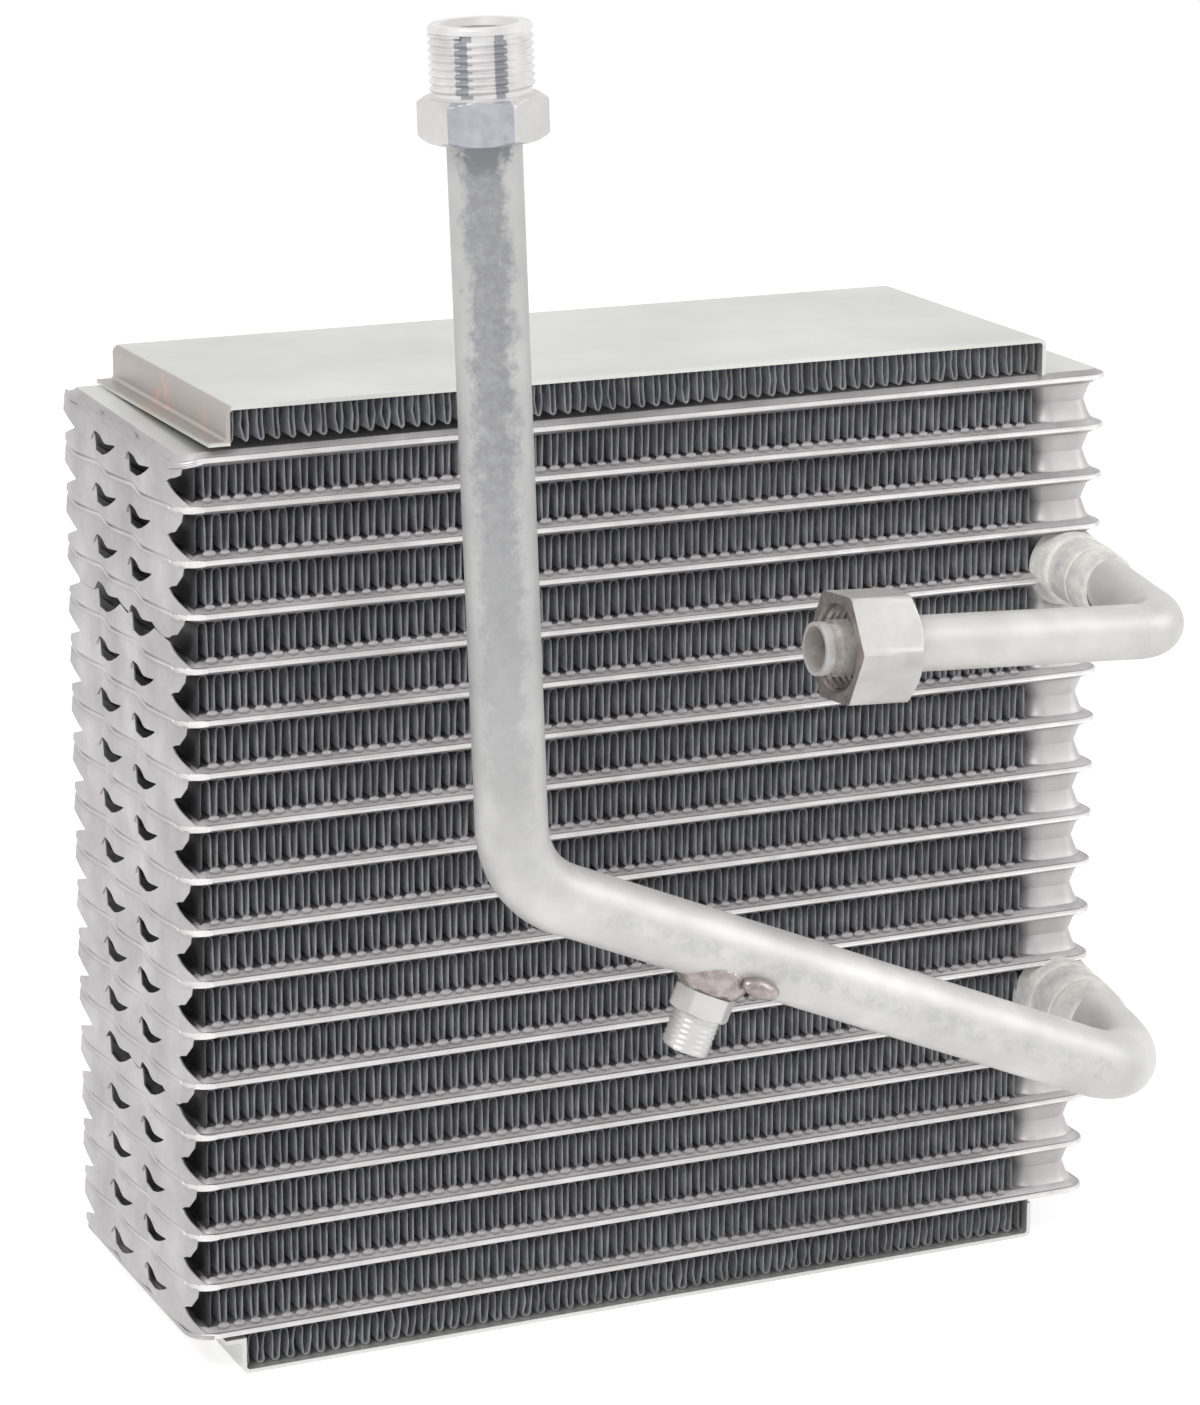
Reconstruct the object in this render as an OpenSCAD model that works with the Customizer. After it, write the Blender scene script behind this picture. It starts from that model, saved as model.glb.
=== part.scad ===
// Evaporator core of a vehicle air conditioner: a brazed stack of drawn aluminium tubes
// and corrugated fins, with a suction line, a liquid line and a service port.
// Origin: centre of the bottom end plate's underside. X runs along the tubes, Y is the
// air's way through the core, Z is up. Lengths are in millimetres.

/* [Core] */
// Number of flat tubes in the stack
tube_count = 18; // [16:1:22]
// Distance from one tube to the next
tube_pitch = 12; // [11:0.25:14]
// Length of a tube along X, end to end
tube_l = 233; // [200:1:300]
// Depth of a tube along Y, with its brazed rims
tube_d = 79; // [70:1:100]
// Thickness of a tube between its fins
tube_t = 3.2; // [2.6:0.1:4]
// Thickness of the brazed rim round a tube
rim_t = 1.2; // [0.8:0.1:1.6]
// How far the rim stands out past the fins
rim_w = 2.5; // [2:0.1:4]
// Width of the slope between the rim and the tube's flat
shoulder_w = 1.3; // [0.8:0.1:1.6]
// Corner radius of a tube seen from above, at the pipe end
corner_r = 6; // [4:0.5:9]

/* [Left end flanges] */
// Corner radius at the front of the flanged end
wrap_r = 6.5; // [5:0.5:8]
// Number of rounded lobes across the flanged end
lobes = 3; // [2:1:4]
// Straight stretch between the front corner and the first lobe
lobe_in = 0.5; // [0.3:0.1:2]
// How far a lobe bulges outward
lobe_bulge = 1.2; // [0.6:0.1:2]
// Sheet thickness of the bent flanges
flange_t = 1; // [0.6:0.1:1.4]
// Width of the opening that each pair of tabs leaves between them
notch_w = 13; // [8:0.5:14]
// Depth of that opening below the seam
notch_depth = 2; // [1:0.1:3]
// How far the opening reaches above the seam at its back tip
notch_rise = 1.8; // [0.6:0.1:2.2]
// Length of the cut at the back corner, where the flanges part
back_cut = 14; // [8:0.5:18]
// Width and depth of the groove between a tube's two plates
seam_w = 0.9; // [0.4:0.1:1.2]

/* [Tanks] */
// Distance from the tubes' pipe end to the middle of the tanks
tank_in = 10.2; // [10:0.1:15]
// Half width of a tank where it stands on a tube
tank_r = 8; // [7.2:0.1:8.7]
// Half width of a tank at its waist, midway between two tubes
tank_waist_r = 6.9; // [6:0.1:7]
// Distance between the front tank and the back tank
tank_gap = 4; // [2:0.5:8]
// Distance from a tube's front or back edge to the tank's base
tank_edge = 2.8; // [2:0.1:5]

/* [Fins] */
// Length of one full wave of the corrugated fin
fin_wave = 5.3; // [4.5:0.05:7]
// Sheet thickness of the fin
fin_t = 0.3; // [0.1:0.05:0.4]
// Gap from the tubes' flanged end to the fins between tubes
fin_in = 4.2; // [3:0.1:8]
// Gap from the fins to the tanks
fin_tank_gap = 0.7; // [0.4:0.1:3]
// Height of the fin under each end plate
end_fin_h = 7.8; // [6:0.1:9]
// Gap from the end plate's folds to the fin
end_fin_gap = 0.4; // [0.2:0.1:1]

/* [End plates] */
// Sheet thickness of the end plates
plate_t = 1; // [0.8:0.1:1.6]
// How far the end plates stop short of the tubes' edges, along Y
plate_edge = 0.5; // [0:0.1:4]
// Length of the top end plate
top_plate_l = 203; // [180:1:206]
// Length of the bottom end plate
bottom_plate_l = 205; // [180:1:206]
// Distance from the tubes' flanged end to the end plates
plate_in = 11.8; // [8:0.1:16]
// Length of the foot that lies on the outermost tube
foot_l = 4; // [2:0.5:7]
// Outer radius of the folds
fold_r = 1.8; // [1.7:0.1:2.5]

/* [Pipe ends on the tanks] */
// How far the collars' axes lie above the tube that they are let into
collar_lift = 2.5; // [1:0.1:4]
// Length of the collars in front of the tubes
collar_l = 13; // [8:0.5:18]
// Depth of the collars inside the front tank
collar_seat = 11; // [8:0.5:12]
// Depth of a pipe inside its collar
collar_socket = 6; // [4:0.5:8]
// Straight length of a pipe in front of its collar, up to its first bend point
neck_l = 2; // [2:0.5:4]
// Distance from the tubes' front edge to the plane of both pipes
run_out = 46; // [44:0.5:60]

/* [Suction line] */
// Number of the tube that carries the suction collar, from the top
suction_tube = 14; // [10:1:15]
// Outside diameter of the suction pipe
suction_od = 15.88; // [12.7:0.01:19.05]
// Wall of the suction pipe
suction_wall = 1.4; // [1:0.1:2]
// Outside diameter of the suction collar
suction_collar_od = 19.4; // [18.4:0.1:19.6]
// Bend radius of the suction pipe on its centre line
suction_bend = 20; // [17:0.5:24]
// Bend radius where the pipe leaves its collar
suction_neck_bend = 16; // [12:0.5:20]
// How far the pipe drops between its collar and its plane
suction_drop = 6.2; // [3:0.1:9]
// Distance from the collar to the foot of the riser, along X
riser_reach = 163.5; // [120:0.5:180]
// Slope of the run, in degrees
run_slope = 23.1; // [15:0.1:30]
// Lean of the riser away from the pipe end, in degrees
riser_lean = 2.2; // [0:0.1:5]
// Length of the riser from its foot to the top of its fitting
riser_l = 186.5; // [140:0.5:240]

/* [Suction fitting] */
// Width across the flats of the hexagon
suction_hex = 24; // [22:0.1:27]
// Height of the hexagon
suction_hex_h = 9.2; // [6:0.1:12]
// Major diameter of the thread, 7/8 inch
suction_thread_d = 22.2; // [20:0.05:23]
// Length of the thread
suction_thread_l = 15; // [10:0.1:20]
// Bore of the fitting
suction_bore = 13.4; // [8:0.1:15]
// How deep the pipe sits in the fitting
suction_socket = 6; // [4:0.5:10]
// Turn of the hexagon about its axis, in degrees
suction_hex_turn = 35; // [0:1:60]
// Chamfer at the start of the thread
suction_chamfer = 1; // [0.4:0.1:2]
// Seat cone at the mouth of the bore
suction_cone = 1.5; // [0.5:0.1:2.5]

/* [Liquid line] */
// Number of the tube that carries the liquid collar, from the top
liquid_tube = 5; // [3:1:7]
// Outside diameter of the liquid pipe
liquid_od = 12.7; // [10:0.05:12.7]
// Wall of the liquid pipe
liquid_wall = 1.2; // [0.8:0.1:1.6]
// Outside diameter of the liquid collar
liquid_collar_od = 16.4; // [16:0.1:20]
// Bend radius of the liquid pipe on its centre line
liquid_bend = 9; // [9:0.5:14]
// Bend radius where the pipe leaves its collar
liquid_neck_bend = 12; // [8:0.5:16]
// How far the pipe drops between its collar and its plane
liquid_drop = 4.5; // [2:0.1:8]
// Length of the liquid run, from its bend point to the nose
liquid_run = 91.5; // [70:0.5:110]
// Rise of the run towards the nose, in degrees
liquid_slope = 3.1; // [0:0.1:8]

/* [Pipe nose and union nut] */
// Diameter of the pilot at the pipe's nose
pilot_d = 12; // [11.6:0.05:12.4]
// Length of the pilot
pilot_l = 2.2; // [1:0.1:4]
// Diameter of the sealing groove
groove_d = 11; // [10.8:0.05:11.4]
// Width of the sealing groove
groove_l = 2; // [1:0.1:3]
// Diameter of the bead that the nut pulls on
bead_d = 16.6; // [15:0.1:17]
// Width of the bead
bead_l = 2.8; // [1.5:0.1:4]
// How far the nose stands out of the nut
nose_out = 5.2; // [2:0.1:6]
// Width across the flats of the union nut
nut_hex = 24; // [22:0.1:27]
// Length of the union nut
nut_l = 15.8; // [14:0.1:20]
// Bore of the nut's thread
nut_bore = 17.6; // [17.4:0.1:19]
// Depth of the nut's thread bore
nut_depth = 10; // [8:0.1:12]
// Radial running clearance between the nut and the pipe
nut_play = 0.06; // [0.02:0.01:0.1]
// Clearance between the nut's shoulder and the bead
nut_gap = 0.2; // [0.1:0.05:0.5]
// Turn of the nut about its axis, in degrees
nut_turn = 8; // [0:1:60]
// Chamfer at the mouth of the nut's thread
nut_chamfer = 1; // [0.4:0.1:1.5]

/* [Service port] */
// Distance of the port from the run's lower bend point, along the pipe
port_at = 123; // [60:1:130]
// Width across the flats of the port's hexagon
port_hex = 12.7; // [11:0.1:14]
// Height of the port's hexagon
port_hex_h = 5.5; // [4:0.1:8]
// Major diameter of the port's thread, 7/16 inch
port_thread_d = 11.1; // [9:0.05:12]
// Length of the port's thread
port_thread_l = 8.6; // [6:0.1:12]
// Bore of the port
port_bore = 5; // [3:0.1:6]
// Thickness of the saddle between the pipe and the port
saddle_t = 2.2; // [1.5:0.1:4]
// Length of the saddle along the pipe
saddle_l = 16; // [14:0.5:24]
// Width of the saddle round the pipe
saddle_w = 13; // [11.5:0.5:15]
// Turn of the port's hexagon about its axis, in degrees
port_hex_turn = 13; // [0:1:60]
// Chamfer at the end of the port's thread
port_chamfer = 0.8; // [0.3:0.1:1.2]
// Diameter of the stub beside the saddle
stub_d = 4.7; // [3:0.1:6]
// Length of the stub
stub_l = 8; // [5:0.5:12]
// Turn of the stub round the pipe, away from the port, in degrees
stub_turn = 58; // [40:1:90]

/* [Hidden] */
$fn = 64;
eps = 0.01;
cup_sink = 0.5;
lap_angle = 1.5;
lap_swell = 0.04;
far = 400;

function two(n) = str(n < 10 ? "0" : "", n);
TUBES = [for (i = [1:tube_count]) str("tube_", two(i))];
FINS = [for (i = [1:tube_count + 1]) str("fin_", two(i))];

plate_aluminium = [0.75, 0.75, 0.74];
tube_aluminium = [0.71, 0.70, 0.70];
fin_aluminium = [0.40, 0.40, 0.42];
pipe_aluminium = [0.82, 0.83, 0.82];
fitting_aluminium = [0.78, 0.78, 0.77];

// Stack heights, from the bottom end plate's underside
end_gap = plate_t + end_fin_h + tube_t / 2;
function tube_z(i) = end_gap + (tube_count - i) * tube_pitch;
core_h = 2 * end_gap + (tube_count - 1) * tube_pitch;
fin_h = tube_pitch - tube_t;

// Places along X and Y
plate_x0 = -bottom_plate_l / 2;
left_x = plate_x0 - plate_in;
right_x = left_x + tube_l;
tank_x = right_x - tank_in;
fin_x0 = left_x + fin_in;
fin_x1 = tank_x - max(tank_r, suction_collar_od / 2) - fin_tank_gap;
fin_d = tube_d - 2 * rim_w;
plate_d = tube_d - 2 * plate_edge;
front_y = -tube_d / 2;
lobe_span = (tube_d - wrap_r - lobe_in) / lobes;
lobe_y0 = front_y + wrap_r + lobe_in;
lobe_r = lobe_span * lobe_span / (8 * lobe_bulge) + lobe_bulge / 2;

// Collars
suction_z = tube_z(suction_tube) + collar_lift;
liquid_z = tube_z(liquid_tube) + collar_lift;
collar_y0 = front_y + collar_seat;
collar_y1 = front_y - collar_l;
socket_y = collar_y1 + collar_socket;
neck_y = collar_y1 - neck_l;
run_y = front_y - run_out;

// Suction route: socket, neck, bend point, riser's foot, riser's top
suction_r = suction_od / 2;
suction_bore_r = suction_r - suction_wall;
run_dir = [-cos(run_slope), 0, sin(run_slope)];
riser_dir = [-sin(riser_lean), 0, cos(riser_lean)];
suction_low = [tank_x, run_y, suction_z - suction_drop];
suction_foot = suction_low + riser_reach / cos(run_slope) * run_dir;
suction_top = suction_foot + riser_l * riser_dir;
suction_fit_h = suction_hex_h + suction_thread_l;
suction_fit_base = suction_top - suction_fit_h * riser_dir;
suction_route = [[tank_x, socket_y, suction_z], [tank_x, neck_y, suction_z], suction_low,
    suction_foot, suction_fit_base + suction_socket * riser_dir];
suction_bends = [suction_neck_bend, suction_bend, suction_bend];

// Liquid route: socket, neck, bend point, nose
liquid_r = liquid_od / 2;
liquid_bore_r = liquid_r - liquid_wall;
nose_dir = [-cos(liquid_slope), 0, sin(liquid_slope)];
liquid_low = [tank_x, run_y, liquid_z - liquid_drop];
nose_tip = liquid_low + liquid_run * nose_dir;
seal_l = pilot_l + groove_l;
liquid_route = [[tank_x, socket_y, liquid_z], [tank_x, neck_y, liquid_z], liquid_low,
    nose_tip - seal_l * nose_dir];
liquid_bends = [liquid_neck_bend, liquid_bend];

// Union nut, measured back from the nose
bead_at = nose_out + nut_depth - nut_gap - bead_l;

// Service port, on the underside of the suction run
port_foot = suction_low + port_at * run_dir;
port_base = suction_r + saddle_t;

// Turns a child's Z axis to a direction that lies in the XZ plane
module facing(dir) {
    rotate([0, atan2(dir[0], dir[2]), 0]) children();
}

// Puts a child's YZ outline upright and draws it along X
module along_x(x0, x1) {
    translate([x0, 0, 0]) rotate([90, 0, 90]) linear_extrude(x1 - x0) children();
}

// Puts a child's XZ outline upright and draws it along Y
module along_y(y0, y1) {
    translate([0, y1, 0]) rotate([90, 0, 0]) linear_extrude(y1 - y0) children();
}

function unit(v) = v / norm(v);

// Straight stretch of a round pipe
module straight(a, b, r) {
    d = b - a;
    translate(a) rotate([0, acos(d[2] / norm(d)), atan2(d[1], d[0])]) cylinder(h = norm(d), r = r);
}

// Length that a bend takes from each of the two straights it joins
function bend_take(a, b, c, bend) = bend * tan(acos(unit(b - a) * unit(c - b)) / 2);

// Bend of a round pipe at point b, on the way from a to c. It is a hair wider than the
// straights and laps over them, so that they unite cleanly
module elbow(a, b, c, bend, r) {
    into = unit(b - a);
    out = unit(c - b);
    side = -unit(out - (out * into) * into);
    up = cross(side, into);
    mid = b - bend_take(a, b, c, bend) * into - bend * side;
    multmatrix([for (i = [0:2]) [side[i], into[i], up[i], mid[i]]])
        rotate(-lap_angle) rotate_extrude(angle = acos(into * out) + 2 * lap_angle, $fn = 96)
            translate([bend, 0]) circle(r + lap_swell, $fn = 64);
}

// Round pipe along a route of straights and bends
module pipe(route, bends, r) {
    last = len(route) - 1;
    take = [for (i = [0:last]) i == 0 || i == last ? 0
        : bend_take(route[i - 1], route[i], route[i + 1], bends[i - 1])];
    for (i = [0:last - 1]) {
        d = unit(route[i + 1] - route[i]);
        straight(route[i] + take[i] * d, route[i + 1] - take[i + 1] * d, r);
    }
    for (i = [1:last - 1]) elbow(route[i - 1], route[i], route[i + 1], bends[i - 1], r);
}

// The same route, longer by e at both ends
function longer(route, e) = let (last = len(route) - 1) [for (i = [0:last])
    i == 0 ? route[0] + e * unit(route[0] - route[1])
    : i == last ? route[last] + e * unit(route[last] - route[last - 1]) : route[i]];

// Outline of a tube seen from above: lobes at the left end, round corners elsewhere
module tube_plan(inset = 0) {
    intersection() {
        union() {
            translate([left_x + inset, front_y + inset])
                square([tube_l - 2 * inset, tube_d - 2 * inset]);
            for (k = [0:lobes - 1])
                translate([left_x - lobe_bulge + lobe_r, lobe_y0 + (k + 0.5) * lobe_span])
                    circle(lobe_r - inset, $fn = 180);
        }
        union() {
            translate([left_x - lobe_bulge, front_y + wrap_r])
                square([tube_l + lobe_bulge - corner_r, tube_d - wrap_r - inset]);
            translate([left_x + wrap_r, front_y + inset])
                square([tube_l - wrap_r - corner_r, tube_d - 2 * inset]);
            translate([left_x + wrap_r, front_y + wrap_r]) circle(wrap_r - inset);
            translate([right_x - 2 * corner_r, front_y + corner_r])
                square([2 * corner_r - inset, tube_d - 2 * corner_r]);
            for (y = [front_y + corner_r, -front_y - corner_r])
                translate([right_x - corner_r, y]) circle(corner_r - inset);
        }
    }
}

// Height of a tube's section from its rim, at both long edges
module tube_section() {
    rim = rim_t / 2;
    flat = tube_t / 2;
    rim_y = -front_y - rim_w + shoulder_w;
    flat_y = -front_y - rim_w;
    half = [[-front_y, rim], [rim_y, rim], [flat_y, flat]];
    polygon(concat(half, [for (i = [2:-1:0]) [-half[i][0], half[i][1]]],
        [for (p = half) [-p[0], -p[1]]], [for (i = [2:-1:0]) [half[i][0], -half[i][1]]]));
}

// The same slope at the pipe end, seen from the front
module tube_end_section() {
    rim = rim_t / 2;
    flat = tube_t / 2;
    polygon([[left_x - lobe_bulge, flat], [right_x - rim_w + 0.4, flat],
        [right_x - rim_w + shoulder_w + 0.4, rim], [right_x, rim], [right_x, -rim],
        [right_x - rim_w + shoulder_w + 0.4, -rim], [right_x - rim_w + 0.4, -flat],
        [left_x - lobe_bulge, -flat]]);
}

module tube_body() {
    intersection() {
        translate([0, 0, -tube_t / 2]) linear_extrude(tube_t) tube_plan();
        along_x(left_x - lobe_bulge, right_x) tube_section();
        along_y(front_y, -front_y) tube_end_section();
    }
}

// Half of a tank's section: hollow-sided, narrow at the waist between two tubes, and
// sunk a little into the plate that it is drawn from
module tank_profile() {
    h = (tube_pitch - tube_t) / 2;
    flare = tank_r - tank_waist_r;
    rise = h + cup_sink;
    bow = (flare * flare + rise * rise) / (2 * flare);
    difference() {
        translate([0, -cup_sink]) square([tank_r, rise]);
        translate([tank_waist_r + bow, h]) circle(bow, $fn = 96);
    }
}

// One drawn cup, from a tube's face up to the waist
module tank_cup(y0, y1) {
    l = y1 - y0 - 2 * tank_r;
    translate([tank_x, y1 - tank_r, tube_t / 2]) {
        along_y(-l, 0) {
            tank_profile();
            mirror([1, 0]) tank_profile();
        }
        rotate_extrude(angle = 180) tank_profile();
        translate([0, -l, 0]) rotate(180) rotate_extrude(angle = 180) tank_profile();
    }
}

module tank_cups() {
    tank_cup(front_y + tank_edge, -tank_gap / 2);
    tank_cup(tank_gap / 2, -front_y - tank_edge);
}

// Outline of the flange that stands up from a tube, cut away at both corners
module tab_outline_up() {
    h = tube_pitch / 2;
    polygon(concat([[front_y, 0], [front_y, rim_t / 2], [lobe_y0, h]],
        [for (k = [1:lobes - 1], p = [[1, 0], [0.28, 1], [0, 0]])
            [lobe_y0 + k * lobe_span - p[0] * notch_w, h - p[1] * notch_depth]],
        [[-front_y - back_cut, h], [-front_y, h / 2 + rim_t / 2], [-front_y, 0]]));
}

// Outline of the flange that hangs from the tube above, to meet it at the seam
module tab_outline_down() {
    h = tube_pitch / 2;
    polygon(concat([[front_y, 0], [front_y, rim_t / 2], [front_y + wrap_r / 2, 0.7 * h],
        [lobe_y0 - lobe_in, 0.8 * h], [lobe_y0, h]],
        [for (k = [1:lobes - 1], p = [[1, 0], [0, 1], [-0.04, 0]])
            [lobe_y0 + k * lobe_span - p[0] * notch_w, h - p[1] * notch_rise]],
        [[-front_y - back_cut, h], [-front_y, h / 2 + rim_t / 2], [-front_y, 0]]));
}

// Bent edge that follows the lobes, one sheet thick
module flange_strip() {
    difference() {
        intersection() {
            tube_plan();
            translate([left_x - lobe_bulge, front_y])
                square([wrap_r + lobe_bulge - flange_t / 2, tube_d]);
        }
        tube_plan(flange_t);
        translate([left_x + flange_t, 0]) square([wrap_r, tube_d]);
    }
}

module end_flange() {
    intersection() {
        linear_extrude(tube_pitch / 2) flange_strip();
        along_x(left_x - lobe_bulge, left_x + wrap_r) children();
    }
}

// Groove between the two plates of a tube, round the flanged end
module plate_groove() {
    translate([0, 0, -seam_w / 2]) linear_extrude(seam_w) difference() {
        translate([left_x - lobe_bulge - seam_w, front_y - seam_w])
            square([wrap_r + lobe_bulge, tube_d + 2 * seam_w]);
        tube_plan(flange_t / 2);
        translate([left_x + flange_t / 2, 0]) square([wrap_r, tube_d]);
    }
}

// Room for a collar, in the frame of the tube at height z
module collar_room(z, od) {
    translate([tank_x, collar_y0, z]) rotate([90, 0, 0])
        cylinder(h = collar_seat + collar_l, d = od);
}

// True where a collar reaches the tube or its cups
function near(i, z, od) = abs(tube_z(i) - z) < (od + tube_pitch) / 2;

module tube(i) {
    color(tube_aluminium) difference() {
        translate([0, 0, tube_z(i)]) difference() {
            union() {
                tube_body();
                if (i > 1) {
                    tank_cups();
                    end_flange() tab_outline_up();
                }
                if (i < tube_count) mirror([0, 0, 1]) {
                    tank_cups();
                    end_flange() tab_outline_down();
                }
            }
            plate_groove();
        }
        if (near(i, suction_z, suction_collar_od)) collar_room(suction_z, suction_collar_od);
        if (near(i, liquid_z, liquid_collar_od)) collar_room(liquid_z, liquid_collar_od);
    }
}

// Corrugated strip: a zigzag of thin walls whose crests touch both faces
module zigzag(x0, x1, h) {
    waves = floor((x1 - x0) / fin_wave);
    half = (x1 - x0) / (2 * waves);
    depth = fin_t * sqrt(1 + pow(h / half, 2));
    crest = [for (k = [0:2 * waves]) [x0 + k * half, (k % 2 == 0 ? -1 : 1) * (h - depth) / 2]];
    polygon(concat([for (p = crest) p + [0, depth / 2]],
        [for (k = [2 * waves:-1:0]) crest[k] - [0, depth / 2]]));
}

// Fin 1 lies under the top end plate and the last one over the bottom end plate
module fin(i) {
    top = i == 1;
    bottom = i == tube_count + 1;
    outer = top || bottom;
    z = top ? core_h - plate_t - end_fin_h / 2
        : bottom ? plate_t + end_fin_h / 2 : tube_z(i) + tube_pitch / 2;
    x0 = outer ? plate_x0 + plate_t + end_fin_gap : fin_x0;
    x1 = top ? plate_x0 + top_plate_l - plate_t - end_fin_gap
        : bottom ? plate_x0 + bottom_plate_l - plate_t - end_fin_gap : fin_x1;
    color(fin_aluminium) translate([0, 0, z]) along_y(-fin_d / 2, fin_d / 2)
        zigzag(x0, x1, outer ? end_fin_h : fin_h);
}

// Rectangle that stands on its base line, with its two upper corners rounded
module arch(l, h, r) {
    translate([r, h - r]) circle(r);
    translate([l - r, h - r]) circle(r);
    translate([r, 0]) square([l - 2 * r, h]);
    square([l, h - r]);
}

// Folded sheet: a flat top, a wall at each end and a foot at the left
module end_plate(l) {
    h = plate_t + end_fin_h;
    fillet = fold_r - plate_t;
    along_y(-plate_d / 2, plate_d / 2) {
        difference() {
            arch(l, h, fold_r);
            translate([plate_t, -eps]) arch(l - 2 * plate_t, h - plate_t + eps, fillet);
        }
        translate([-foot_l, 0]) square([foot_l + plate_t / 2, plate_t]);
        difference() {
            translate([-fillet, plate_t - eps]) square([fillet + eps, fillet + eps]);
            translate([-fillet, plate_t + fillet]) circle(fillet);
        }
    }
}

module top_end_plate() {
    color(plate_aluminium) translate([plate_x0, 0, core_h - plate_t - end_fin_h])
        end_plate(top_plate_l);
}

module bottom_end_plate() {
    color(plate_aluminium) translate([plate_x0, 0, plate_t + end_fin_h])
        mirror([0, 0, 1]) end_plate(bottom_plate_l);
}

// Round collar let into the front tank, with a socket for its pipe
module collar(z, od, pipe_od, bore) {
    color(fitting_aluminium) translate([tank_x, 0, z]) rotate([90, 0, 0]) difference() {
        translate([0, 0, -collar_y0]) cylinder(h = collar_y0 - collar_y1, d = od);
        translate([0, 0, -collar_y0 + plate_t]) cylinder(h = far, d = bore);
        translate([0, 0, -socket_y]) cylinder(h = far, d = pipe_od);
    }
}

module suction_collar() {
    collar(suction_z, suction_collar_od, suction_od, 2 * suction_bore_r);
}

module liquid_collar() {
    collar(liquid_z, liquid_collar_od, liquid_od, 2 * liquid_bore_r);
}

module suction_pipe() {
    color(pipe_aluminium) difference() {
        pipe(suction_route, suction_bends, suction_r);
        pipe(longer(suction_route, 1), suction_bends, suction_bore_r);
        translate(port_foot) facing([-sin(run_slope), 0, -cos(run_slope)])
            cylinder(h = 2 * suction_r, d = port_bore);
    }
}

// Hexagon whose corners are rounded off by a cone at the ends that are asked for
module hexagon(flats, h, low = true, high = true) {
    corner = flats / sqrt(3);
    drop = (corner - flats / 2) * tan(30);
    intersection() {
        cylinder(h = h, r = corner, $fn = 6);
        rotate_extrude() polygon([[0, 0], [low ? flats / 2 : corner, 0], [corner, low ? drop : 0],
            [corner, high ? h - drop : h], [high ? flats / 2 : corner, h], [0, h]]);
    }
}

// Round spigot with a chamfer at its free end
module spigot(d, h, chamfer) {
    cylinder(h = h - chamfer, d = d);
    translate([0, 0, h - chamfer]) cylinder(h = chamfer, r1 = d / 2, r2 = d / 2 - chamfer);
}

module suction_fitting() {
    color(fitting_aluminium) translate(suction_fit_base) facing(riser_dir) difference() {
        union() {
            rotate(suction_hex_turn) hexagon(suction_hex, suction_hex_h);
            translate([0, 0, suction_hex_h / 2])
                spigot(suction_thread_d, suction_thread_l + suction_hex_h / 2, suction_chamfer);
        }
        translate([0, 0, -eps]) cylinder(h = suction_socket + eps, d = suction_od);
        cylinder(h = far, d = suction_bore);
        translate([0, 0, suction_fit_h - suction_cone]) cylinder(h = suction_cone + eps,
            r1 = suction_bore / 2, r2 = suction_bore / 2 + suction_cone + eps);
    }
}

// Pipe with its sealing nose: pilot, groove and bead turned on its end
module liquid_pipe() {
    color(pipe_aluminium) difference() {
        union() {
            pipe(liquid_route, liquid_bends, liquid_r);
            translate(nose_tip) facing(-nose_dir) {
                cylinder(h = pilot_l, d = pilot_d);
                cylinder(h = seal_l + pilot_l, d = groove_d);
                translate([0, 0, bead_at]) cylinder(h = bead_l, d = bead_d);
            }
        }
        pipe(longer(liquid_route, seal_l + 1), liquid_bends, liquid_bore_r);
    }
}

// Union nut, free to turn on the pipe behind the bead
module liquid_nut() {
    color(fitting_aluminium) translate(nose_tip) facing(-nose_dir)
        translate([0, 0, nose_out]) difference() {
            rotate(nut_turn) hexagon(nut_hex, nut_l);
            translate([0, 0, -eps]) cylinder(h = nut_depth + eps, d = nut_bore);
            cylinder(h = far, r = liquid_r + nut_play);
            translate([0, 0, -eps])
                cylinder(h = nut_chamfer + eps, r1 = nut_bore / 2 + nut_chamfer + eps,
                    r2 = nut_bore / 2);
        }
}

// Frame of the service port: Z points away from the pipe, X along it to the riser
module at_port() {
    translate(port_foot) facing([-sin(run_slope), 0, -cos(run_slope)]) children();
}

// Thin saddle that hugs the pipe, with the neck that carries the port
module port_saddle() {
    color(fitting_aluminium) at_port() difference() {
        union() {
            intersection() {
                translate([-saddle_l / 2, 0, 0]) rotate([0, 90, 0])
                    cylinder(h = saddle_l, r = suction_r + saddle_t / 2);
                translate([0, 0, suction_r / 2]) linear_extrude(suction_r)
                    square([saddle_l, saddle_w], center = true);
            }
            translate([0, 0, suction_r / 2]) cylinder(h = port_base - suction_r / 2, d = port_thread_d);
        }
        translate([-saddle_l, 0, 0]) rotate([0, 90, 0]) cylinder(h = 2 * saddle_l, r = suction_r);
        cylinder(h = far, d = port_bore);
    }
}

// Short round stub on the pipe, against the end of the saddle
module port_stub() {
    color(fitting_aluminium) at_port() rotate([-stub_turn, 0, 0])
        translate([-saddle_l / 2, 0, suction_r + stub_d / 2]) rotate([0, -90, 0]) {
            cylinder(h = stub_l - stub_d / 2, d = stub_d);
            translate([0, 0, stub_l - stub_d / 2]) sphere(d = stub_d);
        }
}

module port_fitting() {
    color(fitting_aluminium) at_port() translate([0, 0, port_base]) difference() {
        union() {
            rotate(port_hex_turn) hexagon(port_hex, port_hex_h, low = false);
            translate([0, 0, port_hex_h / 2])
                spigot(port_thread_d, port_thread_l + port_hex_h / 2, port_chamfer);
        }
        translate([0, 0, -eps]) cylinder(h = far, d = port_bore);
    }
}

for (i = [1:tube_count]) tube(i);
for (i = [1:tube_count + 1]) fin(i);
top_end_plate();
bottom_end_plate();
suction_collar();
suction_pipe();
suction_fitting();
liquid_collar();
liquid_pipe();
liquid_nut();
port_saddle();
port_stub();
port_fitting();
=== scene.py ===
import math
import random

import bmesh
import bpy
from mathutils import Matrix, Vector


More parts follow.
